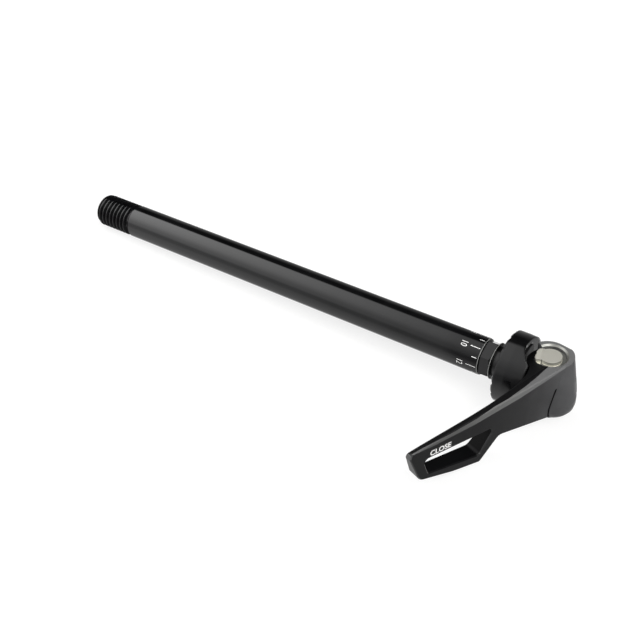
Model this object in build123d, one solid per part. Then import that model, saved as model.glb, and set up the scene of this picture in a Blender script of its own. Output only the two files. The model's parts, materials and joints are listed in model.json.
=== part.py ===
from build123d import *
import os
from math import cos, radians, sin, sqrt

os.makedirs("parts", exist_ok=True)

# Millimetres. The axle runs along X, the drum's clamping face is at x = 0 and the head is at +X.
# The lever turns about a line parallel to Z and, closed, reaches towards -Y.

# Clearances
running_gap = 0.05
loose_gap = 0.35
thread_gap = 0.02
stud_setback = 0.1
screw_play = 0.15

# Axle shaft: 12 mm tube with an M12 thread at the far end
shaft_r = 6.0
shaft_head_x = -7.2
thread_tip_x = -169.0
thread_len = 16.4
thread_r = 5.92
thread_lead_in = 1.0
thread_relief_len = 1.2
thread_relief_r = 5.0
shaft_bore_r = 3.9
shaft_neck_len = 9.8
edge_break = 0.35

# Draw stud and the screw that keeps it in the shaft
stud_r = 3.0
sleeve_r = 4.8
sleeve_end_x = 2.2
screw_r = 2.0
screw_grip = 8.0
screw_run_out = 0.5
screw_head_r = 3.5
screw_head_len = 4.0
screw_key = 3.0
screw_key_depth = 2.0
washer_r = 3.55
washer_t = 0.8

# Hexagon collar
collar_corner_r = 6.0
collar_x0 = -7.1
collar_x1 = -3.8
collar_face_r = 5.3
collar_bevel = 0.42
collar_clock = 38.0

# Clamp drum
drum_r = 11.5
drum_end_r = 10.9
drum_band = 3.6
drum_lip = 0.4
drum_bulge = 0.19
horn_x = 9.2
teeth = 18
tooth_cut_r = 1.3
tooth_depth = 0.55
tooth_clock = 8.0
tooth_len = 2.5
face_inner_r = 8.6
face_recess = 0.7
drum_web_x = 3.9
floor_x = 5.85

# Lever pivot and cam
pivot_x = 13.45
cam_closed_r = 6.9
cam_lift = 0.9
lever_open = 100.0
cam_gap = 0.3
cam_wrap = 235.0
cam_blend = 5.0
saddle_r = pivot_x - floor_x

# Cam pad
pad_t = 1.0
pad_half_y = 4.3
pad_half_z = 8.8
pad_corner_r = 1.5
pad_x = pivot_x - cam_closed_r - cam_gap

# Return spring, coiled from flat wire
spring_wire_w = 0.9
spring_wire_t = 0.4
spring_mean_r = 3.95
spring_turns = 1.5

# Pivot barrel
barrel_r = 4.6
barrel_top = 10.0
barrel_low = -8.7
tang_r = 3.2
tang_half = 2.55
tang_floor = 8.8
tang_clock = 193.0
tang_notch_r = 3.0
tang_notch_depth = 0.35
tang_flat = 3.0
tang_fall = 16.0

# Lever: a flat outer face leaning 20 degrees, seen as (along, up) from the point next to the pivot
lever_sink = 1.2
lever_top = drum_r - lever_sink
lever_low = -9.5
lever_depth = 14.0
face_lean = 20.35
face_offset = 6.1
tip_top = (58.3, lever_top)
tip_low = (54.2, -1.9)
belly = (42.0, -6.3)
knee = (32.0, -8.9)
neck = (25.0, -2.4)
root_low = (2.0, -8.3)
root_end = (0.0, -8.8)
tip_top_r = 1.6
tip_low_r = 3.2
belly_r = 20.0
knee_r = 1.2
neck_r = 2.0
slot_points = [(52.9, 5.3), (27.0, 2.1), (32.5, -5.7), (51.2, -0.8)]
slot_corner_r = 1.3
# Depth of the lever's inner side behind the outer face, as (along, depth), at its top and at its foot
depth_top = [(9.8, 5.6), (13.0, 4.2), (17.9, 3.0), (25.0, 2.15), (40.0, 1.65), (60.0, 1.45)]
depth_low = [(9.8, 6.2), (13.0, 5.9), (17.9, 5.9), (25.0, 6.0), (40.0, 6.0), (60.0, 5.8)]
land_near = (2.3, 3.5)
land_far = (60.0, 0.1)
facet_back = -3.0
facet_slope = 18.0
boss_x = 15.06
boss_y = 0.28
boss_top_x = 14.74
boss_top_y = 0.99
boss_top_r = 5.23
boss_wide_r = 7.45
boss_wide_z = -4.0
boss_round = 3.4
boss_bands = 4
step_z = 3.1
step_depth = 0.2
step_groove = 0.45
step_skin = 0.5
lever_edge = 0.3
lobe_bevel = 1.0
bore_flare = 0.5


def turned(points):
    """Solid turned about the axle axis from (x, radius) points."""
    return revolve(make_face(Polyline(*points, close=True)), Axis.X)


def ring(x0, x1, outer, inner):
    """Plain ring on the axle axis."""
    return turned([(x0, inner), (x0, outer), (x1, outer), (x1, inner)])


def upright(r, z0, z1, x=pivot_x, y=0.0):
    """Upright cylinder between two heights."""
    return Pos(x, y, (z0 + z1) / 2) * Cylinder(r, z1 - z0)


def polar(r, deg):
    """Plan point at a radius and angle from the pivot."""
    return (pivot_x + r * cos(radians(deg)), r * sin(radians(deg)))


def cam_r(deg):
    """Cam radius at an angle on the closed lever; it falls evenly as the lever opens."""
    return cam_closed_r - cam_lift * max(0.0, 180.0 - deg) / lever_open


lean = radians(face_lean)
along = Vector(-sin(lean), -cos(lean), 0)
outward = Vector(cos(lean), -sin(lean), 0)
face_foot = Vector(pivot_x, 0, 0) + outward * face_offset
face_plane = Plane(origin=face_foot, x_dir=along, z_dir=outward * -1)
top_plane = Plane(origin=face_foot + Vector(0, 0, lever_top), x_dir=along, z_dir=(0, 0, -1))
low_plane = Plane(origin=face_foot + Vector(0, 0, lever_low), x_dir=along, z_dir=(0, 0, -1))


def make_shaft():
    tip = thread_tip_x
    thread_end = tip + thread_len
    shoulder = shaft_head_x - shaft_neck_len
    outer = [(tip, thread_r - thread_lead_in), (tip + thread_lead_in, thread_r)]
    outer += [(thread_end - thread_relief_len, thread_r)]
    outer += [(thread_end - thread_relief_len + thread_r - thread_relief_r, thread_relief_r)]
    outer += [(thread_end, thread_relief_r), (thread_end, shaft_r - edge_break)]
    outer += [(thread_end + edge_break, shaft_r), (shaft_head_x - edge_break, shaft_r)]
    outer += [(shaft_head_x, shaft_r - edge_break)]
    guide_r = stud_r + running_gap
    inner = [(shaft_head_x, guide_r), (shoulder, guide_r), (shoulder, shaft_bore_r)]
    inner += [(tip + edge_break, shaft_bore_r), (tip, shaft_bore_r + edge_break)]
    return turned(outer + inner)


def make_stud():
    inner_end = shaft_head_x - shaft_neck_len + stud_setback
    outer_end = pivot_x + sqrt(barrel_r ** 2 - stud_r ** 2)
    hole_r = screw_r + thread_gap
    hole_end = inner_end + screw_grip + screw_run_out
    points = [(inner_end, hole_r), (inner_end, stud_r - edge_break), (inner_end + edge_break, stud_r)]
    points += [(collar_x1, stud_r), (collar_x1, sleeve_r), (sleeve_end_x, sleeve_r), (sleeve_end_x, stud_r)]
    points += [(outer_end - edge_break, stud_r), (outer_end, stud_r - edge_break), (outer_end, 0)]
    points += [(hole_end, 0), (hole_end, hole_r)]
    return turned(points)


def make_washer():
    x1 = shaft_head_x - shaft_neck_len - running_gap
    return ring(x1 - washer_t, x1, washer_r, screw_r + screw_play)


def make_screw():
    seat = shaft_head_x - shaft_neck_len - running_gap - washer_t
    back = seat - screw_head_len
    shank_end = shaft_head_x - shaft_neck_len + screw_grip
    points = [(back, 0), (back, screw_head_r - edge_break), (back + edge_break, screw_head_r)]
    points += [(seat, screw_head_r), (seat, screw_r), (shank_end, screw_r), (shank_end, 0)]
    key_plane = Plane(origin=(back, 0, 0), x_dir=(0, 1, 0), z_dir=(1, 0, 0))
    key = key_plane * RegularPolygon(screw_key / 2, 6, major_radius=False)
    return turned(points) - extrude(key, screw_key_depth)


def make_collar():
    plane = Plane(origin=(collar_x0, 0, 0), x_dir=(0, -1, 0), z_dir=(1, 0, 0))
    hexagon = plane * (Rot(0, 0, -collar_clock) * RegularPolygon(collar_corner_r, 6))
    bevel = collar_bevel
    over_r = collar_corner_r + edge_break
    points = [(collar_x0, stud_r + thread_gap), (collar_x0, collar_face_r)]
    points += [(collar_x0 + bevel, over_r), (collar_x1 - bevel, over_r)]
    points += [(collar_x1, collar_face_r), (collar_x1, stud_r + thread_gap)]
    return extrude(hexagon, collar_x1 - collar_x0) & turned(points)


def make_drum():
    bore_r = sleeve_r + running_gap
    lip = drum_lip
    mid_x = (drum_band + horn_x) / 2
    points = [(drum_web_x, stud_r + loose_gap), (drum_web_x, bore_r), (face_recess, bore_r)]
    points += [(face_recess, face_inner_r), (0, face_inner_r), (0, drum_r - lip), (lip, drum_r)]
    points += [(drum_band, drum_r), (mid_x, drum_r - drum_bulge), (horn_x, drum_end_r)]
    drum = turned(points + [(horn_x, stud_r + loose_gap)])
    reach = max(drum_r, drum_end_r) + edge_break
    near_side = Pos(pivot_x, edge_break - reach, 0) * Box(2 * saddle_r, 2 * reach, 3 * reach)
    far_side = Pos(floor_x + reach, reach, 0) * Box(2 * reach, 2 * reach, 3 * reach)
    drum = drum - (upright(saddle_r, -reach, reach) & near_side) - far_side
    drum = drum - pad_block(running_gap, horn_x)
    groove = Cylinder(tooth_cut_r, 2 * tooth_len, rotation=(90, 0, 0))
    for k in range(teeth):
        turn = Rot(-(tooth_clock + k * 360.0 / teeth), 0, 0)
        drum = drum - turn * Pos(tooth_depth - tooth_cut_r, -drum_r, 0) * groove
    return drum


def pad_block(grow, front_x):
    """Block from the pad's seat to front_x: the pad itself, or with grow the pocket it sits in."""
    seat = Plane(origin=(pad_x - pad_t, 0, 0), x_dir=(0, 1, 0), z_dir=(1, 0, 0))
    face = seat * RectangleRounded(2 * (pad_half_y + grow), 2 * (pad_half_z + grow), pad_corner_r + grow)
    return extrude(face, front_x - pad_x + pad_t)


def make_pad():
    return pad_block(0, pad_x) - ring(0, horn_x, stud_r + loose_gap, 0)


def make_spring():
    start = sleeve_end_x + spring_wire_t / 2 + thread_gap
    height = drum_web_x - spring_wire_t / 2 - thread_gap - start
    path = Helix(height / spring_turns, height, spring_mean_r)
    wire = Plane(origin=path @ 0, x_dir=(1, 0, 0), z_dir=path % 0) * Rectangle(spring_wire_w, spring_wire_t)
    coil = sweep(wire, path=path, is_frenet=True)
    return Pos(start, 0, 0) * Rot(0, 90, 0) * coil


def make_barrel():
    body = upright(barrel_r, barrel_low, tang_floor)
    body = chamfer(body.edges().group_by(Axis.Z)[0], edge_break)
    strip_x = Pos(pivot_x, 0, 0) * Rot(0, 0, tang_clock)
    tall = barrel_top - tang_floor
    mid = (barrel_top + tang_floor) / 2
    strip = strip_x * Pos(barrel_r / 2, 0, mid) * Box(barrel_r, 2 * tang_half, tall)
    notch_x = barrel_r + tang_notch_r - tang_notch_depth
    notch = strip_x * Pos(notch_x, 0, mid) * Cylinder(tang_notch_r, 2 * tall)
    tang = upright(tang_r, tang_floor, barrel_top) + (strip & upright(barrel_r, tang_floor, barrel_top))
    slope = strip_x * Pos(tang_flat, 0, barrel_top) * Rot(0, tang_fall, 0) * Pos(0, 0, barrel_r)
    tang = tang - notch - slope * Box(4 * barrel_r, 4 * barrel_r, 2 * barrel_r)
    return body + tang - ring(0, 2 * pivot_x, stud_r + thread_gap, 0)


def boss_solid(extra):
    """Leaning tapered boss with a foot rounded in bands, made larger or smaller all round by extra."""
    wide = boss_wide_r + extra
    low = lever_low
    top_circle = Pos(boss_top_x, boss_top_y, lever_top) * Circle(boss_top_r + extra)
    wide_circle = Pos(boss_x, boss_y, boss_wide_z) * Circle(wide)
    bends = [radians(90.0 * k / boss_bands) for k in range(boss_bands + 1)]
    foot = [(wide - boss_round * (1 - cos(a)), low + boss_round * (1 - sin(a))) for a in bends]
    rim = Polyline((wide, boss_wide_z), *foot, (0, low), (0, boss_wide_z), close=True)
    profile = Plane.XZ * make_face(rim)
    return loft([wide_circle, top_circle], ruled=True) + Pos(boss_x, boss_y, 0) * revolve(profile, Axis.Z)


def make_arm():
    outline = Polyline((0, lever_top), tip_top, tip_low, belly, knee, neck, root_low, root_end, close=True)
    face = make_face(outline)
    rounds = [(tip_top, tip_top_r), (tip_low, tip_low_r), (belly, belly_r), (knee, knee_r), (neck, neck_r)]
    for point, r in rounds:
        corner = face.vertices().sort_by_distance((point[0], point[1], 0))[0]
        face = fillet(corner, r)
    blank = extrude(face_plane * face, lever_depth)
    front = blank.faces().sort_by(Axis(face_foot, outward))[-1]
    blank = chamfer(front.edges(), lever_edge)
    start = polar(cam_closed_r, cam_wrap)
    rel = Vector(start[0], start[1], 0) - Vector(face_foot.X, face_foot.Y, 0)
    root = (rel.dot(along), -rel.dot(outward))
    levels = []
    for plane, depths in ((top_plane, depth_top), (low_plane, depth_low)):
        back = Spline(root, *depths)
        rim = Polyline(depths[-1], (depths[-1][0], -1.0), (0.0, -1.0), (0.0, root[1]), root)
        levels.append(plane * make_face([back, rim]))
    arm = blank & loft(levels, ruled=True)
    slot = fillet(make_face(Polyline(*slot_points, close=True)).vertices(), slot_corner_r)
    rim = offset(slot, lever_edge)
    bevel = loft([face_plane * rim, face_plane * Pos(0, 0, lever_edge) * slot])
    return arm - extrude(face_plane * slot, lever_depth) - bevel


def make_lever():
    wide = 2 * drum_r
    tall = 2 * (lever_top - lever_low)
    heel_angle = 180 - lever_open
    steps = [heel_angle + lever_open * k / 10 for k in range(11)]
    spiral = [polar(cam_r(a), a) for a in steps]
    heel = Spline(*spiral)
    wrap_mid = polar(cam_closed_r, (180 + cam_wrap) / 2)
    wrap_end = polar(cam_closed_r, cam_wrap)
    wrap = ThreePointArc(spiral[-1], wrap_mid, wrap_end)
    back = Polyline(wrap_end, (boss_x, boss_y), spiral[0])
    lobe = Pos(0, 0, lever_low) * extrude(make_face([heel, wrap, back]), lever_top - lever_low)
    foot = lobe.edges().filter_by(Plane.XY).group_by(Axis.Z)[0].sort_by(Axis.X)[:2]
    lever = make_arm() + boss_solid(0) + chamfer(foot, lobe_bevel)

    heel_x, heel_y = spiral[0]
    trim = Pos(heel_x, heel_y, 0) * Rot(0, 0, heel_angle) * Pos(wide / 2, 0, 0) * Box(wide, 2 * wide, tall)
    hub = (Align.NONE, Align.NONE, Align.CENTER)
    sweep_angle = cam_wrap - cam_blend - heel_angle
    swept = Pos(pivot_x, 0, 0) * Rot(0, 0, heel_angle) * Cylinder(wide, tall, sweep_angle, align=hub)
    lever = lever - trim - (swept - lobe)

    bore_mid = (0, face_offset)
    inner_far = [(land_far[0], wide), (facet_back, wide)]
    facet_plan = top_plane * make_face(Polyline(bore_mid, land_near, land_far, *inner_far, close=True))
    run = Vector(land_far[0] - land_near[0], land_far[1] - land_near[1], 0).normalized()
    ridge = along * run.X - outward * run.Y
    inward = Vector(0, 0, -1).cross(ridge)
    slope = radians(facet_slope)
    facet_up = Vector(0, 0, cos(slope)) + inward * sin(slope)
    facet_origin = top_plane.from_local_coords(Vector(land_near[0], land_near[1], 0))
    facet = Plane(origin=facet_origin, x_dir=ridge, z_dir=facet_up)
    above = facet.location * Pos(0, 0, wide) * Box(8 * wide, 8 * wide, 2 * wide)
    lever = lever - (extrude(facet_plan, lever_depth, both=True) & above)

    skin = face_plane.location * Pos(0, 0, step_skin - wide / 2) * Box(2 * wide, 2 * wide, wide)
    below = Pos(pivot_x, 0, step_z - tall / 2) * Box(4 * wide, 4 * wide, tall)
    groove = boss_solid(step_groove) - boss_solid(-step_depth)
    lever = lever - (groove & skin & below)

    bore_r = barrel_r + running_gap
    lever = lever - upright(bore_r, lever_low - 1, lever_top + 1)
    flare = Pos(pivot_x, 0, lever_top - bore_flare / 2) * Cone(bore_r, bore_r + bore_flare, bore_flare)
    lever = lever - flare

    gap_r = stud_r + loose_gap
    window = Pos(pivot_x, 0, 0) * Rot(0, 0, heel_angle) * Cylinder(wide, 2 * gap_r, lever_open, align=hub)
    for a in (heel_angle, 180):
        slot_end = Pos(pivot_x, 0, 0) * Rot(0, 0, a) * Pos(wide / 2, 0, 0)
        window = window + slot_end * Box(wide, 2 * gap_r, 2 * gap_r)
    return lever - window


def lying(roll):
    """Axes of the axle lying on its thread end and drum rim, turned about itself by roll."""
    climb = (drum_r - thread_r) / (drum_lip - thread_tip_x - thread_lead_in)
    up = Vector(climb, sin(roll), cos(roll)).normalized()
    return Plane(origin=(0, 0, 0), x_dir=Vector(1, 0, 0) - up * up.X, z_dir=up)


def in_frame(frame, shape):
    return frame.location.inverse() * shape


def rest_frame(pieces):
    """Frame of the part at rest: rolled until the lever's knee meets the floor, centred on its box."""
    roll = 0.0
    for _ in range(6):
        floor = in_frame(lying(roll), pieces["clamp_drum"]).bounding_box().min.Z
        gap = in_frame(lying(roll), pieces["lever"]).bounding_box().min.Z - floor
        roll += gap / knee[0]
    frame = lying(roll)
    box = Compound(children=[in_frame(frame, s) for s in pieces.values()]).bounding_box()
    middle = Vector(box.center().X, box.center().Y, box.min.Z)
    return Plane(origin=frame.from_local_coords(middle), x_dir=frame.x_dir, z_dir=frame.z_dir)


parts = {
    "axle_shaft": make_shaft(),
    "draw_stud": make_stud(),
    "retaining_screw": make_screw(),
    "retaining_washer": make_washer(),
    "lock_collar": make_collar(),
    "clamp_drum": make_drum(),
    "cam_pad": make_pad(),
    "return_spring": make_spring(),
    "pivot_barrel": make_barrel(),
    "lever": make_lever(),
}
rest = rest_frame(parts)
for name, shape in parts.items():
    export_step(in_frame(rest, shape), f"parts/{name}.step")
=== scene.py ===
import json
import math

import bmesh
import bpy
from mathutils import Matrix, Vector


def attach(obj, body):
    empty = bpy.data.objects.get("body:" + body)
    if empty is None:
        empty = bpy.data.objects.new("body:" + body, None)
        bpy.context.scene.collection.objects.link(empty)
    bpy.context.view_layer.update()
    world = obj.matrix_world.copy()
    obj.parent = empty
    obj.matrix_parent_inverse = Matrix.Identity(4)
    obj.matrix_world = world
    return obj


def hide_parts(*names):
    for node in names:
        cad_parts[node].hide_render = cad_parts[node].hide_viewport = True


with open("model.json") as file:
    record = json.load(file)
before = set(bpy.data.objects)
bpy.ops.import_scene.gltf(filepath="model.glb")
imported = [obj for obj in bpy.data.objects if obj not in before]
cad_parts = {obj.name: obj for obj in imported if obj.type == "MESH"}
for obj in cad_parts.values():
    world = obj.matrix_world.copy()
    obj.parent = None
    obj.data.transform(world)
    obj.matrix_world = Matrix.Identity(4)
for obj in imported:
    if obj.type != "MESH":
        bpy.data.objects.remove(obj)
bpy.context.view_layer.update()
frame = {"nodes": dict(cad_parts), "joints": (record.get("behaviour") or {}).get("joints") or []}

MM = 0.001
nodes = frame["nodes"]
joints = {j["name"]: j for j in frame["joints"]}

# The axle's own axes: x along it towards the head from the drum's clamping face, the lever pivot
# parallel to z, and the closed lever reaching to -y.
PIVOT_X = 13.45
AXLE = Vector(joints["index_turn"]["axis"]).normalized()
UPRIGHT = Vector(joints["lever_pivot"]["axis"]).normalized()
REACH = UPRIGHT.cross(AXLE)
PIVOT = Vector(joints["lever_pivot"]["pos_m"])
DRUM_FACE = PIVOT - AXLE * PIVOT_X * MM


def along(x, y, z):
    """Direction in the row frame from one in the axle's axes."""
    return AXLE * x + REACH * y + UPRIGHT * z


def at(x, y, z):
    """Point in the row frame, in metres, from millimetres in the axle's axes."""
    return DRUM_FACE + along(x, y, z) * MM


def round_axle(x, r, deg):
    """Point at a radius round the axle; 0 degrees faces the lever's side and 90 is up."""
    a = math.radians(deg)
    return at(x, -r * math.cos(a), r * math.sin(a))


# Axle shaft, as in the solid
SHAFT_R = 6.0
SHAFT_HEAD_X = -7.2
TIP_X = -169.0
THREAD_LEN = 16.4
THREAD_R = 5.92
LEAD_IN = 1.0
RELIEF_LEN = 1.2
RELIEF_R = 5.0
BORE_R = 3.9
NECK_R = 3.05
NECK_LEN = 9.8
EDGE = 0.35

# Thread M12 x 1.75: its radius over one pitch, and where across a pitch it has a row of points
PITCH = 1.75
ROOT_R = 4.95
THREAD_FORM = [(0.0, THREAD_R), (0.125, THREAD_R), (0.43, ROOT_R), (0.695, ROOT_R), (1.0, THREAD_R)]
THREAD_STEPS = [0.0, 0.0625, 0.125, 0.2, 0.28, 0.355, 0.43, 0.56, 0.695, 0.77, 0.85, 0.925]

# Points round the shaft, and cuts along its plain length
SHAFT_SIDES = 144
SHAFT_CUTS = 12
# Where along the axle a thin pale line is painted at the shaft's head, a painted highlight of its edge
EDGE_HIGHLIGHT_SPAN = (SHAFT_HEAD_X - EDGE * 0.75, SHAFT_HEAD_X - EDGE / 6)

# Round ring on the collar's end, where its profile turns, and its bore; its outer band gets a painted
# highlight
RING_X = (-3.8, -3.6, -3.34, -3.14)
RING_R = 5.95
RING_BEVEL = 0.2
RING_BORE_R = 4.82
RING_SIDES = 96

# Lever's outer face
FACE_LEAN = math.radians(20.35)
FACE_OFFSET = 6.1
LEVER_TOP = 10.3
FACE_ALONG = (-math.sin(FACE_LEAN), -math.cos(FACE_LEAN))
FACE_OUT = (math.cos(FACE_LEAN), -math.sin(FACE_LEAN))
LEVER_ALONG = along(*FACE_ALONG, 0)
LEVER_OUT = along(*FACE_OUT, 0)


def piece(name, verts, faces, material, body, smooth=40.0):
    """Mesh piece that rides on a body; edges sharper than smooth degrees stay crisp."""
    mesh = bpy.data.meshes.new(name)
    mesh.from_pydata([tuple(v) for v in verts], [], faces)
    mesh.validate()
    mesh.shade_smooth()
    mesh.set_sharp_from_angle(angle=math.radians(smooth))
    obj = bpy.data.objects.new(name, mesh)
    bpy.context.scene.collection.objects.link(obj)
    mesh.materials.append(material)
    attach(obj, body)
    return obj


# Materials

def srgb(code):
    """Linear colour from an sRGB hex value."""
    parts = [int(code[i:i + 2], 16) / 255 for i in (1, 3, 5)]
    return [p / 12.92 if p <= 0.04045 else ((p + 0.055) / 1.055) ** 2.4 for p in parts] + [1.0]


def add(tree, kind, inputs=(), stops=(), **settings):
    """Adds a shader node with its settings; inputs maps its sockets to values or to other nodes' outputs,
    and stops fills a colour ramp."""
    n = tree.nodes.new("ShaderNode" + kind)
    for key, value in settings.items():
        setattr(n, key, value)
    for key, value in dict(inputs).items():
        if isinstance(value, bpy.types.NodeSocket):
            tree.links.new(value, n.inputs[key])
        else:
            n.inputs[key].default_value = value
    for k, (place, colour) in enumerate(stops):
        if k >= len(n.color_ramp.elements):
            n.color_ramp.elements.new(place)
        n.color_ramp.elements[k].position = place
        n.color_ramp.elements[k].color = colour
    return n


def start(name):
    """New material: its tree, its shader and the piece's own coordinates in millimetres."""
    m = bpy.data.materials.new(name)
    m.use_nodes = True
    tree = m.node_tree
    place = add(tree, "TexCoord")
    mm = add(tree, "VectorMath", {0: place.outputs["Object"], "Scale": 1 / MM}, operation="SCALE")
    return m, tree, tree.nodes["Principled BSDF"], mm.outputs[0]


def levels(points, first, last, top):
    """Ramp stops from (place, value) points, as shares of first to last and of top."""
    return [((place - first) / (last - first), [value / top] * 3 + [1.0]) for place, value in points]


def anodised_gloss(name, edge_break=0.0, pale_band=None):
    """Hard black anodised aluminium, turned and polished: a clear oxide skin over a black dye, so it
    mirrors the studio like black glass, with faint turning lines and patches a shade duller. Edges that
    were tumbled smooth, edge_break millimetres wide, bend what it mirrors. Between the two places along the
    axle that it is given, a thin pale line is painted on, a painted highlight of the edge there."""
    m, tree, shader, mm = start(name)
    # Patches 9 mm across
    cloud = add(tree, "TexNoise", {"Vector": mm, "Scale": 1 / 9.0, "Detail": 4.0}).outputs["Fac"]
    colour = add(tree, "ValToRGB", {"Fac": cloud},
                 stops=[(0.3, srgb("#0a0a0b")), (0.75, srgb("#121213"))]).outputs["Color"]
    axial = add(tree, "VectorMath", {0: mm, 1: AXLE}, operation="DOT_PRODUCT").outputs["Value"]
    # Painted highlight: a thin pale line between the two places along the axle, standing in for the light
    # on an edge
    if pale_band:
        face_x = AXLE.dot(DRUM_FACE) / MM
        past = add(tree, "Math", {0: axial, 1: face_x + pale_band[0]}, operation="GREATER_THAN").outputs[0]
        short = add(tree, "Math", {0: axial, 1: face_x + pale_band[1]}, operation="LESS_THAN").outputs[0]
        line = add(tree, "Math", {0: past, 1: short}, operation="MULTIPLY").outputs[0]
        edge_highlight = add(tree, "Mix", {"Factor": line, 6: colour, 7: srgb("#7a7a78")}, data_type="RGBA")
        colour = edge_highlight.outputs[2]
    tree.links.new(colour, shader.inputs["Base Color"])
    gloss = add(tree, "MapRange", {"Value": cloud, "From Min": 0.3, "From Max": 0.7,
                                   "To Min": 0.07, "To Max": 0.12})
    tree.links.new(gloss.outputs["Result"], shader.inputs["Roughness"])
    # Turning marks 0.1 mm apart, drawn 0.35 mm apart so that they show
    strip = add(tree, "CombineXYZ", {"X": axial})
    lines = add(tree, "TexNoise", {"Vector": strip.outputs[0], "Scale": 1 / 0.35, "Detail": 2.0})
    bump = add(tree, "Bump", {"Height": lines.outputs["Fac"], "Strength": 0.05, "Distance": 0.02 * MM})
    if edge_break:
        edge = add(tree, "Bevel", {"Radius": edge_break * MM}, samples=4)
        tree.links.new(edge.outputs["Normal"], bump.inputs["Normal"])
    tree.links.new(bump.outputs["Normal"], shader.inputs["Normal"])
    shader.inputs["IOR"].default_value = 1.5
    return m


# The lever's finish, with its painted sheen, highlights, shade and dark reflections, is laid out in
# millimetres: along the lever from the pivot, up from the pivot, and in depth behind the outer face. SKIN
# is how near a face a point still counts as on it.
LEVER_RUN = (-10.0, 60.0)
SKIN = 0.03
# Land along the top with a painted highlight, standing in for the light on its bevel: how deep it reaches
# on the level top, where it takes in the whole boss; between which heights it shows on the outer face, and
# to which depth there; and from where on it covers the tip (along, up)
BOSS_DEPTH = 14.0
LAND_DEPTH = [(-10, BOSS_DEPTH), (3.4, BOSS_DEPTH), (3.6, 3.2), (10, 1.9), (15, 1.1), (21, 0.5), (26, 0.0),
              (60, 0.0)]
LAND_LOWER = [(-10, 10.3), (-3, 10.2), (0, 9.75), (8, 9.0), (18, 8.2), (35, 8.05), (50, 9.1), (58, 10.2)]
LAND_HIGHEST = 10.4
LAND_UPPER = [(-10, LAND_HIGHEST), (26, LAND_HIGHEST), (34, 10.0), (44, 10.0), (56, LAND_HIGHEST)]
LAND_EDGE = 0.36
LAND_TIP = (57.2, 8.6)
# Slot, whose walls get painted shade: its two ends and its upper edge, the slope and height of a line under
# it, the depth where its walls start, and the two ends and upper edge of the rim that gets a painted
# highlight
SLOT_BOX = (25.5, 53.5, 5.6)
SLOT_FLOOR = (0.262, -15.2)
SLOT_WALL = 0.33
SLOT_RIM = (51.2, 54.5, 3.6)
# Groove beside the boss, which gets painted shade: its two depths, its end along the lever and its upper
# end
GROOVE = (0.06, 0.7, 14.0, 3.2)
# Bevel round the bore: its outer radius and its depth
BORE_BEVEL = (5.16, 0.52)
# Cosines: a face is a wall when it looks outwards less than this, and a top when it looks upwards more
WALL_FACING = 0.5
TOP_FACING = 0.6
# Painted dark reflection: how far the sheen of the tops outside the land falls towards that of the slot's
# walls, 0 to 1
TOP_DARK_REFLECTION = 0.8


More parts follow.
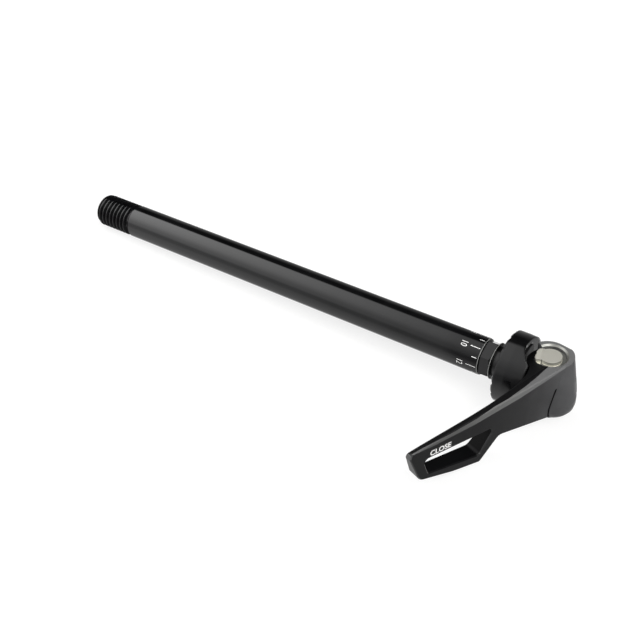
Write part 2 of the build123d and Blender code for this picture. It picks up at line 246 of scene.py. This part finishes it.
def anodised_satin():
    """Black anodised aluminium, forged and bead blasted: a soft even sheen with a fine grain. A painted
    sheen makes it a shade paler towards the boss, and the land along the top has a painted highlight. The
    other tops have a painted dark reflection, the slot's walls and the groove beside the boss are black
    with painted shade, the pale edge at the slot's end is a painted highlight, and the bevel round the bore
    is uncoated bright metal."""
    m, tree, shader, mm = start("black_anodised_satin")
    spoke = add(tree, "VectorMath", {0: mm, 1: PIVOT / MM}, operation="SUBTRACT").outputs[0]
    height, run, out = [
        add(tree, "VectorMath", {0: spoke, 1: axis}, operation="DOT_PRODUCT").outputs["Value"]
        for axis in (UPRIGHT, LEVER_ALONG, LEVER_OUT)]
    depth = add(tree, "Math", {0: FACE_OFFSET, 1: out}, operation="SUBTRACT").outputs[0]
    across = add(tree, "VectorMath", {0: spoke, 1: UPRIGHT}, operation="CROSS_PRODUCT").outputs[0]
    radius = add(tree, "VectorMath", {0: across}, operation="LENGTH").outputs["Value"]
    first, last = LEVER_RUN
    share = add(tree, "MapRange", {"Value": run, "From Min": first, "From Max": last}).outputs[0]
    facing = add(tree, "TexCoord").outputs["Normal"]
    upwards, outwards = [
        add(tree, "VectorMath", {0: facing, 1: axis}, operation="DOT_PRODUCT").outputs["Value"]
        for axis in (UPRIGHT, LEVER_OUT)]
    outwards = add(tree, "Math", {0: outwards}, operation="ABSOLUTE").outputs[0]

    def all_of(*tests):
        """1 where every (value, test, limit) holds."""
        held = 1.0
        for value, test, limit in tests:
            one = add(tree, "Math", {0: value, 1: limit}, operation=test).outputs[0]
            held = add(tree, "Math", {0: held, 1: one}, operation="MULTIPLY").outputs[0]
        return held

    def along_lever(points, top):
        """Value that follows (place, value) points along the lever."""
        ramp = add(tree, "ValToRGB", {"Fac": share}, stops=levels(points, first, last, top))
        return add(tree, "Math", {0: ramp.outputs["Color"], 1: top}, operation="MULTIPLY").outputs[0]

    # Patches 7 mm across, which shift the painted sheen along the lever
    cloud = add(tree, "TexNoise", {"Vector": mm, "Scale": 1 / 7.0, "Detail": 5.0})
    drift = add(tree, "MapRange", {"Value": cloud.outputs["Fac"], "From Min": 0.2, "From Max": 0.8,
                                   "To Min": -0.05, "To Max": 0.05}).outputs[0]
    drifted = add(tree, "Math", {0: share, 1: drift}, operation="ADD").outputs[0]
    # Painted sheen: a shade paler towards the boss, whose curved face catches more light, down to the arm's
    # black
    colour = add(tree, "ValToRGB", {"Fac": drifted},
                 stops=[(0.1, srgb("#4e4e4f")), (0.22, srgb("#39393a")), (0.34, srgb("#202021")),
                        (0.6, srgb("#0a0a0b"))]).outputs["Color"]
    # Painted highlight of the land, dimming along the lever
    pale = add(tree, "ValToRGB", {"Fac": drifted},
               stops=[(0.2, srgb("#646464")), (0.32, srgb("#646464")), (0.42, srgb("#626261")),
                      (0.58, srgb("#5c5c5b")), (0.72, srgb("#4e4e4d")),
                      (0.95, srgb("#464646"))]).outputs["Color"]

    # Painted shade on the slot's walls and in the groove beside the boss
    slope, base = SLOT_FLOOR
    floor = add(tree, "Math", {0: run, 1: slope, 2: base}, operation="MULTIPLY_ADD").outputs[0]
    slot = all_of((depth, "GREATER_THAN", SLOT_WALL), (run, "GREATER_THAN", SLOT_BOX[0]),
                  (run, "LESS_THAN", SLOT_BOX[1]), (height, "LESS_THAN", SLOT_BOX[2]),
                  (height, "GREATER_THAN", floor), (outwards, "LESS_THAN", WALL_FACING))
    groove = all_of((depth, "GREATER_THAN", GROOVE[0]), (depth, "LESS_THAN", GROOVE[1]),
                    (run, "LESS_THAN", GROOVE[2]), (height, "LESS_THAN", GROOVE[3]))
    painted_shade = add(tree, "Math", {0: slot, 1: groove}, operation="MAXIMUM").outputs[0]
    # Painted dark reflection: the tops outside the land, which mirror the dark part of the room, are near
    # black
    tops = all_of((upwards, "GREATER_THAN", TOP_FACING))
    # Painted highlight on the pale edge round the slot's end, a bevel facing the light
    rim = all_of((depth, "GREATER_THAN", SKIN), (depth, "LESS_THAN", SLOT_WALL),
                 (run, "GREATER_THAN", SLOT_RIM[0]), (run, "LESS_THAN", SLOT_RIM[1]),
                 (height, "LESS_THAN", SLOT_RIM[2]))
    # Painted highlight: the land on the level top, down the outer face and over the tip
    land_top = all_of((height, "GREATER_THAN", LEVER_TOP - SKIN),
                      (depth, "LESS_THAN", along_lever(LAND_DEPTH, BOSS_DEPTH)))
    land_face = all_of((depth, "LESS_THAN", LAND_EDGE),
                       (height, "GREATER_THAN", along_lever(LAND_LOWER, LAND_HIGHEST)),
                       (height, "LESS_THAN", along_lever(LAND_UPPER, LAND_HIGHEST)))
    land_tip = all_of((run, "GREATER_THAN", LAND_TIP[0]), (height, "GREATER_THAN", LAND_TIP[1]))
    land = add(tree, "Math", {0: land_top, 1: land_face}, operation="MAXIMUM").outputs[0]
    land = add(tree, "Math", {0: land, 1: land_tip}, operation="MAXIMUM").outputs[0]
    pale_band = all_of((radius, "LESS_THAN", BORE_BEVEL[0]), (height, "GREATER_THAN", LEVER_TOP - BORE_BEVEL[1]))
    for mask, over in ((painted_shade, srgb("#040404")), (tops, srgb("#070708")), (rim, srgb("#6a6a69")),
                       (land, pale), (pale_band, srgb("#9a9a95"))):
        colour = add(tree, "Mix", {"Factor": mask, 6: colour, 7: over}, data_type="RGBA").outputs[2]
    tree.links.new(colour, shader.inputs["Base Color"])
    tree.links.new(pale_band, shader.inputs["Metallic"])
    # Painted dark reflection and painted shade: less sheen on the tops outside the land, the slot's walls
    # and the groove
    dull = add(tree, "Math", {0: tops, 1: land}, operation="SUBTRACT", use_clamp=True).outputs[0]
    dull = add(tree, "Math", {0: dull, 1: TOP_DARK_REFLECTION}, operation="MULTIPLY").outputs[0]
    dull = add(tree, "Math", {0: dull, 1: painted_shade}, operation="MAXIMUM").outputs[0]
    sheen = add(tree, "MapRange", {"Value": dull, "To Min": 0.5, "To Max": 0.08})
    tree.links.new(sheen.outputs[0], shader.inputs["Specular IOR Level"])
    # Blast grain 0.1 mm, drawn 0.3 mm so that it shows
    grain = add(tree, "TexNoise", {"Vector": mm, "Scale": 1 / 0.3, "Detail": 3.0}).outputs["Fac"]
    gloss = add(tree, "MapRange", {"Value": grain, "From Min": 0.3, "From Max": 0.7,
                                   "To Min": 0.36, "To Max": 0.46})
    tree.links.new(gloss.outputs["Result"], shader.inputs["Roughness"])
    bump = add(tree, "Bump", {"Height": grain, "Strength": 0.1, "Distance": 0.03 * MM})
    tree.links.new(bump.outputs["Normal"], shader.inputs["Normal"])
    shader.inputs["IOR"].default_value = 1.65
    return m


# The pivot barrel's end, in millimetres from its middle: where its bevel, which gets painted shade, starts,
# and how far its flats on the drum's side reach, which stay bright
BARREL_BEVEL_R = 3.35
BARREL_FLAT_X = -1.8


def plated_steel():
    """Machined steel, nickel plated: a warm pale grey, blurred by fine concentric cutter marks. The bevel
    round its end, save the flats on the drum's side, is painted a darker grey as painted shade."""
    m, tree, shader, mm = start("nickel_plated_machined_steel")
    spoke = add(tree, "VectorMath", {0: mm, 1: PIVOT / MM}, operation="SUBTRACT").outputs[0]
    across = add(tree, "VectorMath", {0: spoke, 1: UPRIGHT}, operation="CROSS_PRODUCT").outputs[0]
    radius = add(tree, "VectorMath", {0: across}, operation="LENGTH").outputs["Value"]
    axial = add(tree, "VectorMath", {0: spoke, 1: AXLE}, operation="DOT_PRODUCT").outputs["Value"]
    # Cutter marks 0.15 mm apart
    strip = add(tree, "CombineXYZ", {"X": radius})
    rings = add(tree, "TexNoise", {"Vector": strip.outputs[0], "Scale": 1 / 0.15, "Detail": 2.0})
    rings = rings.outputs["Fac"]
    tone = add(tree, "ValToRGB", {"Fac": rings},
               stops=[(0.3, srgb("#e6e4d9")), (0.7, srgb("#eeece2"))]).outputs["Color"]
    # Painted shade: the bevel round the end, save the flats on the drum's side, is a darker grey
    outer = add(tree, "Math", {0: radius, 1: BARREL_BEVEL_R}, operation="GREATER_THAN").outputs[0]
    round_side = add(tree, "Math", {0: axial, 1: BARREL_FLAT_X}, operation="GREATER_THAN").outputs[0]
    bevel = add(tree, "Math", {0: outer, 1: round_side}, operation="MULTIPLY").outputs[0]
    shade = add(tree, "Mix", {"Factor": bevel, 6: tone, 7: srgb("#94948f")}, data_type="RGBA")
    tree.links.new(shade.outputs[2], shader.inputs["Base Color"])
    gloss = add(tree, "MapRange", {"Value": rings, "From Min": 0.3, "From Max": 0.7,
                                   "To Min": 0.52, "To Max": 0.58})
    tree.links.new(gloss.outputs["Result"], shader.inputs["Roughness"])
    bump = add(tree, "Bump", {"Height": rings, "Strength": 0.02, "Distance": 0.01 * MM})
    tree.links.new(bump.outputs["Normal"], shader.inputs["Normal"])
    shader.inputs["Metallic"].default_value = 1.0
    return m


def oxide_steel():
    """Turned steel, black oxide finish: near black with a dull oily sheen, cloudy where the bath was
    uneven."""
    m, tree, shader, mm = start("black_oxide_steel")
    # Clouds 2.5 mm across
    cloud = add(tree, "TexNoise", {"Vector": mm, "Scale": 1 / 2.5, "Detail": 4.0})
    tone = add(tree, "ValToRGB", {"Fac": cloud.outputs["Fac"]},
               stops=[(0.3, srgb("#0d0d0e")), (0.7, srgb("#171718"))])
    tree.links.new(tone.outputs["Color"], shader.inputs["Base Color"])
    gloss = add(tree, "MapRange", {"Value": cloud.outputs["Fac"], "From Min": 0.3, "From Max": 0.7,
                                   "To Min": 0.2, "To Max": 0.3})
    tree.links.new(gloss.outputs["Result"], shader.inputs["Roughness"])
    shader.inputs["IOR"].default_value = 1.5
    return m


def acetal():
    """Black acetal, moulded: waxy and even with a faint flow mottle."""
    m, tree, shader, mm = start("black_acetal_moulded")
    # Flow marks 3 mm across
    cloud = add(tree, "TexNoise", {"Vector": mm, "Scale": 1 / 3.0, "Detail": 3.0})
    tone = add(tree, "ValToRGB", {"Fac": cloud.outputs["Fac"]},
               stops=[(0.0, srgb("#0c0c0c")), (1.0, srgb("#161616"))])
    tree.links.new(tone.outputs["Color"], shader.inputs["Base Color"])
    shader.inputs["Roughness"].default_value = 0.45
    shader.inputs["IOR"].default_value = 1.48
    return m


def marking_ink():
    """White marking ink, pad printed: flat and chalky, a little thin in places."""
    m, tree, shader, mm = start("white_marking_ink")
    # Thin places 0.6 mm across
    cloud = add(tree, "TexNoise", {"Vector": mm, "Scale": 1 / 0.6, "Detail": 3.0})
    tone = add(tree, "ValToRGB", {"Fac": cloud.outputs["Fac"]},
               stops=[(0.25, srgb("#d4d4d2")), (0.6, srgb("#f4f4f2"))])
    tree.links.new(tone.outputs["Color"], shader.inputs["Base Color"])
    shader.inputs["Roughness"].default_value = 0.6
    shader.inputs["IOR"].default_value = 1.5
    return m


# Light that the table top gives of its own
TABLE_GLOW = 0.8


def backlit_acrylic():
    """White acrylic table top lit from below: nearly even white, so that shadows stay faint."""
    m, tree, shader, mm = start("white_acrylic_backlit")
    # Casting clouds 60 mm across
    cast = add(tree, "TexNoise", {"Vector": mm, "Scale": 1 / 60.0, "Detail": 2.0})
    tone = add(tree, "ValToRGB", {"Fac": cast.outputs["Fac"]},
               stops=[(0.0, srgb("#80807f")), (1.0, srgb("#848483"))])
    tree.links.new(tone.outputs["Color"], shader.inputs["Base Color"])
    shader.inputs["Roughness"].default_value = 0.8
    shader.inputs["IOR"].default_value = 1.49
    shader.inputs["Emission Color"].default_value = srgb("#ffffff")
    shader.inputs["Emission Strength"].default_value = TABLE_GLOW
    return m


BLACK_GLOSS = anodised_gloss("black_anodised_polished", pale_band=EDGE_HIGHLIGHT_SPAN)
# The ring's outer band, between the second and third places, gets a painted highlight: a thin pale line
BLACK_RING = anodised_gloss("black_anodised_ring", pale_band=RING_X[1:3])
BLACK_COLLAR = anodised_gloss("black_anodised_collar", edge_break=0.25)
BLACK_DRUM = anodised_gloss("black_anodised_drum", edge_break=0.8)
BLACK_SATIN = anodised_satin()
PLATED = plated_steel()
OXIDE = oxide_steel()
ACETAL = acetal()
INK = marking_ink()

finishes = {
    "axle_shaft": BLACK_GLOSS,
    "lock_collar": BLACK_COLLAR,
    "clamp_drum": BLACK_DRUM,
    "lever": BLACK_SATIN,
    "pivot_barrel": PLATED,
    "draw_stud": OXIDE,
    "retaining_screw": OXIDE,
    "retaining_washer": OXIDE,
    "return_spring": OXIDE,
    "cam_pad": ACETAL,
}
for name, finish in finishes.items():
    nodes[name].data.materials.clear()
    nodes[name].data.materials.append(finish)


# Axle shaft with its thread cut

def thread_radius(share):
    """Radius at a share of one pitch, 0 to 1: crest, flank, root, flank."""
    for (a, ra), (b, rb) in zip(THREAD_FORM, THREAD_FORM[1:]):
        if share <= b:
            return ra + (rb - ra) * (share - a) / (b - a)


def axle_shaft():
    """Shaft as it is turned, in rings of points from the tip over the thread to the head, and back through
    the neck and the bore."""
    shoulder = TIP_X + THREAD_LEN
    relief = shoulder - RELIEF_LEN + THREAD_R - RELIEF_R
    plain_start = shoulder + EDGE
    plain_end = SHAFT_HEAD_X - EDGE

    def on_thread(turns, r):
        """Place and radius so many turns from the tip, held inside the lead-in and the relief."""
        x = min(max(TIP_X + turns * PITCH, TIP_X), relief)
        lead = THREAD_R - LEAD_IN + (x - TIP_X)
        out = RELIEF_R + (relief - x)
        return x, min(r, lead, out)

    end_face = [(TIP_X, BORE_R + EDGE), (TIP_X, THREAD_R - LEAD_IN)]
    rings = [[point] * SHAFT_SIDES for point in end_face]
    first = len(rings)
    for k in range(-1, math.ceil(THREAD_LEN / PITCH) + 1):
        for step in THREAD_STEPS:
            r = thread_radius(step)
            rings.append([on_thread(k + step + i / SHAFT_SIDES, r) for i in range(SHAFT_SIDES)])
    last = len(rings) - 1
    turned = [(relief, RELIEF_R), (shoulder, RELIEF_R), (shoulder, SHAFT_R - EDGE), (plain_start, SHAFT_R)]
    for k in range(1, SHAFT_CUTS):
        turned.append((plain_start + (plain_end - plain_start) * k / SHAFT_CUTS, SHAFT_R))
    turned += [(plain_end, SHAFT_R), (SHAFT_HEAD_X - EDGE / 6, SHAFT_R - EDGE / 3),
               (SHAFT_HEAD_X, SHAFT_R - EDGE), (SHAFT_HEAD_X, NECK_R), (SHAFT_HEAD_X - NECK_LEN, NECK_R),
               (SHAFT_HEAD_X - NECK_LEN, BORE_R), (TIP_X + EDGE, BORE_R)]
    rings += [[point] * SHAFT_SIDES for point in turned]

    def corner(k, i):
        """Point of a ring; after a whole turn a ring of the thread runs on in the one a pitch further."""
        k = k % len(rings)
        if i == SHAFT_SIDES and first <= k <= last:
            k = min(k + len(THREAD_STEPS), last)
        return k * SHAFT_SIDES + i % SHAFT_SIDES

    verts = [round_axle(x, r, 360.0 * i / SHAFT_SIDES) for ring in rings for i, (x, r) in enumerate(ring)]
    faces = [(corner(k, i), corner(k, i + 1), corner(k + 1, i + 1), corner(k + 1, i))
             for k in range(len(rings)) for i in range(SHAFT_SIDES)]
    shaft = piece("threaded_axle_shaft", verts, faces, BLACK_GLOSS, "shaft", smooth=25.0)
    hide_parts("axle_shaft")


axle_shaft()


def collar_ring():
    """Thin round ring between the hexagon collar and the drum."""
    a, b, c, d = RING_X
    profile = [(a, RING_BORE_R), (a, RING_R - RING_BEVEL), (b, RING_R), (c, RING_R),
               (d, RING_R - RING_BEVEL), (d, RING_BORE_R)]
    verts = [round_axle(x, r, 360.0 * i / RING_SIDES) for x, r in profile for i in range(RING_SIDES)]
    faces = []
    for k in range(len(profile)):
        n = (k + 1) % len(profile)
        for i in range(RING_SIDES):
            j = (i + 1) % RING_SIDES
            faces.append((k * RING_SIDES + i, k * RING_SIDES + j, n * RING_SIDES + j, n * RING_SIDES + i))
    piece("collar_ring", verts, faces, BLACK_RING, "head", smooth=30.0)


collar_ring()


# Clock scale round the shaft's head end: a long tick and a numeral every two hours. A tick runs between two
# places along the axle; the numerals have their base line at one, and their width is narrowed.

TICK_WIDTH = 0.22
LONG_TICK = (-11.1, -7.8)
SHORT_TICK = (-9.6, -7.9)
# Points across a tick, so that it follows the round shaft
TICK_POINTS = (-1, -0.5, 0, 0.5, 1)
NUMERAL_X = -14.2
NUMERAL_SIZE = 3.0
NUMERAL_WIDTH = 0.7
INK_LIFT = 0.012


def clock_angle(hour):
    """Degrees round the axle of an hour on the scale."""
    return (12 - hour) * 30.0


def clock_ticks():
    """A tick for every hour, longer at the even ones."""
    verts = []
    faces = []
    half = math.degrees(TICK_WIDTH / 2 / SHAFT_R)
    count = len(TICK_POINTS)
    for hour in range(1, 13):
        base = len(verts)
        ends = SHORT_TICK if hour % 2 else LONG_TICK
        for x in ends:
            for side in TICK_POINTS:
                verts.append(round_axle(x, SHAFT_R + INK_LIFT, clock_angle(hour) + side * half))
        for i in range(base, base + count - 1):
            faces.append((i, i + 1, i + count + 1, i + count))
    piece("clock_ticks", verts, faces, INK, "shaft")


def lettering(name, text, size, bold=0.0, cuts=2):
    """Flat outline mesh of a word in millimetres, centred on its width, standing on its base line."""
    curve = bpy.data.curves.new(name, "FONT")
    curve.body = text
    curve.size = size
    curve.offset = bold
    curve.resolution_u = 4
    curve.align_x = "CENTER"
    holder = bpy.data.objects.new(name, curve)
    bpy.context.scene.collection.objects.link(holder)
    bpy.context.view_layer.update()
    mesh = bpy.data.meshes.new_from_object(holder.evaluated_get(bpy.context.evaluated_depsgraph_get()))
    bpy.data.objects.remove(holder)
    bpy.data.curves.remove(curve)
    bm = bmesh.new()
    bm.from_mesh(mesh)
    bpy.data.meshes.remove(mesh)
    bmesh.ops.triangulate(bm, faces=bm.faces)
    bmesh.ops.subdivide_edges(bm, edges=bm.edges, cuts=cuts)
    bm.verts.index_update()
    points = [v.co.copy() for v in bm.verts]
    faces = [[v.index for v in f.verts] for f in bm.faces]
    bm.free()
    return points, faces


def clock_numerals():
    """The even hours, standing round the shaft beside their ticks."""
    verts = []
    faces = []
    for hour in range(2, 13, 2):
        points, shapes = lettering("numeral", str(hour), NUMERAL_SIZE)
        base = len(verts)
        for p in points:
            turn = math.degrees(p.x * NUMERAL_WIDTH / SHAFT_R)
            verts.append(round_axle(NUMERAL_X + p.y, SHAFT_R + INK_LIFT, clock_angle(hour) - turn))
        faces += [[base + i for i in f] for f in shapes]
    piece("clock_numerals", verts, faces, INK, "shaft")


clock_ticks()
clock_numerals()


# Word on the lever's outer face, next to the slot: the middle of its base line, its length and height, how
# far the line drops over a millimetre, how much its strokes are thickened, and the share of a letter's size
# that its capitals take up
WORD_MID = (47.0, 5.3)
WORD_LENGTH = 7.4
WORD_HEIGHT = 1.95
WORD_DROP = 0.118
WORD_BOLD = 0.06
CAPITAL_SHARE = 0.7


def on_face(s, z, lift):
    """Point over the lever's outer face, s along it from the pivot, z up and lift off it."""
    x = PIVOT_X + FACE_OUT[0] * (FACE_OFFSET + lift) + FACE_ALONG[0] * s
    y = FACE_OUT[1] * (FACE_OFFSET + lift) + FACE_ALONG[1] * s
    return at(x, y, z)


def close_word():
    """The closing direction, along the slot's edge."""
    points, faces = lettering("word", "CLOSE", WORD_HEIGHT / CAPITAL_SHARE, bold=WORD_BOLD, cuts=1)
    left = min(p.x for p in points)
    right = max(p.x for p in points)
    low = min(p.y for p in points)
    high = max(p.y for p in points)
    verts = []
    for p in points:
        u = (p.x - (left + right) / 2) * WORD_LENGTH / (right - left)
        h = (p.y - low) * WORD_HEIGHT / (high - low)
        verts.append(on_face(WORD_MID[0] - u, WORD_MID[1] - WORD_DROP * u + h, INK_LIFT))
    piece("close_word", verts, faces, INK, "lever")


close_word()


# Stage, lights and camera; the stage is in metres

ACRYLIC = backlit_acrylic()
FLOOR_HALF = 6.0
BACKDROP_R = 5.5
BACKDROP_HEIGHT = 4.0
BACKDROP_SIDES = 64
SWEEP_R = 0.6
SWEEP_STEP = 15


def stage_mesh(name, verts, faces):
    """Piece of the stage in the row frame; the gloss on the part mirrors the room and not this."""
    mesh = bpy.data.meshes.new(name)
    mesh.from_pydata(verts, [], faces)
    mesh.materials.append(ACRYLIC)
    mesh.shade_smooth()
    obj = bpy.data.objects.new(name, mesh)
    bpy.context.scene.collection.objects.link(obj)
    obj.visible_glossy = False
    return obj


def studio_floor():
    """Flat table top."""
    h = FLOOR_HALF
    stage_mesh("studio_floor", [(-h, -h, 0), (h, -h, 0), (h, h, 0), (-h, h, 0)], [(0, 1, 2, 3)])


def studio_backdrop():
    """Round white wall that sweeps up from the floor behind every view, and neither lights nor shades."""
    sides = BACKDROP_SIDES
    bends = [math.radians(a) for a in range(0, 91, SWEEP_STEP)]
    profile = [(BACKDROP_R - SWEEP_R * (1 - math.sin(a)), SWEEP_R * (1 - math.cos(a))) for a in bends]
    profile.append((BACKDROP_R, BACKDROP_HEIGHT))
    turns = [2 * math.pi * i / sides for i in range(sides)]
    verts = [(r * math.cos(t), r * math.sin(t), z) for r, z in profile for t in turns]
    faces = []
    for k in range(len(profile) - 1):
        for i in range(sides):
            j = (i + 1) % sides
            faces.append((k * sides + j, k * sides + i, (k + 1) * sides + i, (k + 1) * sides + j))
    wall = stage_mesh("studio_backdrop", verts, faces)
    wall.visible_diffuse = False
    wall.visible_shadow = False


studio_floor()
studio_backdrop()


# Light seen round the axle, in degrees from level on the lever's side over the top
TABLE = [(-180, 0.3), (-157, 0.42), (-145, 1.2), (-112, 1.2), (-98, 0.45), (-73, 0.66), (-50, 0.85),
         (-30, 0.5), (-8, 0.0), (148, 0.0), (168, 0.2), (180, 0.3)]
FRONT_WALL = [(-180, 0.0), (-48, 0.0), (-25, 0.5), (0, 0.68), (14, 0.6), (30, 0.0), (180, 0.0)]
OVERHEAD_BOX = [(-180, 0.0), (6, 0.0), (24, 1.15), (36, 1.6), (60, 2.35), (84, 2.55), (112, 2.3),
                (119, 0.0), (180, 0.0)]
# Share of it along the axle, from straight past the far end to straight past the head
TABLE_RUN = [(-1, 1.0), (0.16, 1.0), (0.29, 0.22), (0.58, 0.2), (1, 0.2)]
WALL_RUN = [(-1, 0.3), (-0.8, 0.5), (-0.69, 1.3), (-0.63, 1.25), (-0.5, 1.0), (-0.35, 0.65), (-0.2, 0.3),
            (1, 0.3)]
BOX_RUN = [(-1, 0.25), (-0.8, 0.5), (-0.69, 1.45), (-0.66, 1.45), (-0.52, 1.0), (-0.35, 0.5), (-0.2, 0.42),
           (0.06, 0.42), (0.12, 0.02), (0.26, 0.02), (0.34, 1.6), (0.62, 1.8), (0.8, 0.6), (1, 0.5)]
# Full scale of the ramps that hold them
BRIGHTEST = 4.0


def studio_room():
    """Studio seen from the table: pale table, a dim front wall and two long softboxes overhead, one towards
    each end of the axle; both stop short behind, where the room is black."""
    world = bpy.context.scene.world or bpy.data.worlds.new("studio")
    bpy.context.scene.world = world
    world.use_nodes = True
    tree = world.node_tree
    place = add(tree, "TexCoord").outputs["Generated"]
    axial, front, up = [
        add(tree, "VectorMath", {0: place, 1: axis}, operation="DOT_PRODUCT").outputs["Value"]
        for axis in (AXLE, -REACH, UPRIGHT)]
    angle = add(tree, "Math", {0: up, 1: front}, operation="ARCTAN2").outputs[0]
    turn = add(tree, "MapRange", {"Value": angle, "From Min": -math.pi, "From Max": math.pi}).outputs[0]
    run = add(tree, "MapRange", {"Value": axial, "From Min": -1.0, "From Max": 1.0}).outputs[0]
    total = 0.0
    for lights, shares in ((TABLE, TABLE_RUN), (FRONT_WALL, WALL_RUN), (OVERHEAD_BOX, BOX_RUN)):
        light = add(tree, "ValToRGB", {"Fac": turn}, stops=levels(lights, -180, 180, BRIGHTEST))
        part = add(tree, "ValToRGB", {"Fac": run}, stops=levels(shares, -1, 1, BRIGHTEST))
        one = add(tree, "Math", {0: light.outputs["Color"], 1: part.outputs["Color"]}, operation="MULTIPLY")
        total = add(tree, "Math", {0: total, 1: one.outputs[0]}, operation="ADD").outputs[0]
    power = add(tree, "Math", {0: total, 1: BRIGHTEST ** 2}, operation="MULTIPLY").outputs[0]
    tree.links.new(power, tree.nodes["Background"].inputs["Strength"])
    tree.nodes["Background"].inputs["Color"].default_value = (1, 1, 1, 1)


studio_room()


# Camera fitted to the photograph: lens and sensor in millimetres, the nearest that it sees in metres, and
# in the axle's axes its place in millimetres, its right and its up
LENS = 56.25
SENSOR = 36.0
NEAREST = 0.01
CAMERA_PLACE = (90.0, -213.34, 206.81)
CAMERA_RIGHT = (0.8209, 0.5692, -0.0458)
CAMERA_UP = (-0.3331, 0.5425, 0.7711)


def camera():
    """Camera at the photograph's place."""
    data = bpy.data.cameras.new("photo_camera")
    data.sensor_width = SENSOR
    data.lens = LENS
    data.clip_start = NEAREST
    obj = bpy.data.objects.new("photo_camera", data)
    bpy.context.scene.collection.objects.link(obj)
    right = along(*CAMERA_RIGHT).normalized()
    up = along(*CAMERA_UP).normalized()
    back = right.cross(up)
    turn = Matrix((right, up, back)).transposed().to_4x4()
    obj.matrix_world = Matrix.Translation(at(*CAMERA_PLACE)) @ turn
    bpy.context.scene.camera = obj


camera()
bpy.context.scene.view_settings.view_transform = "Standard"
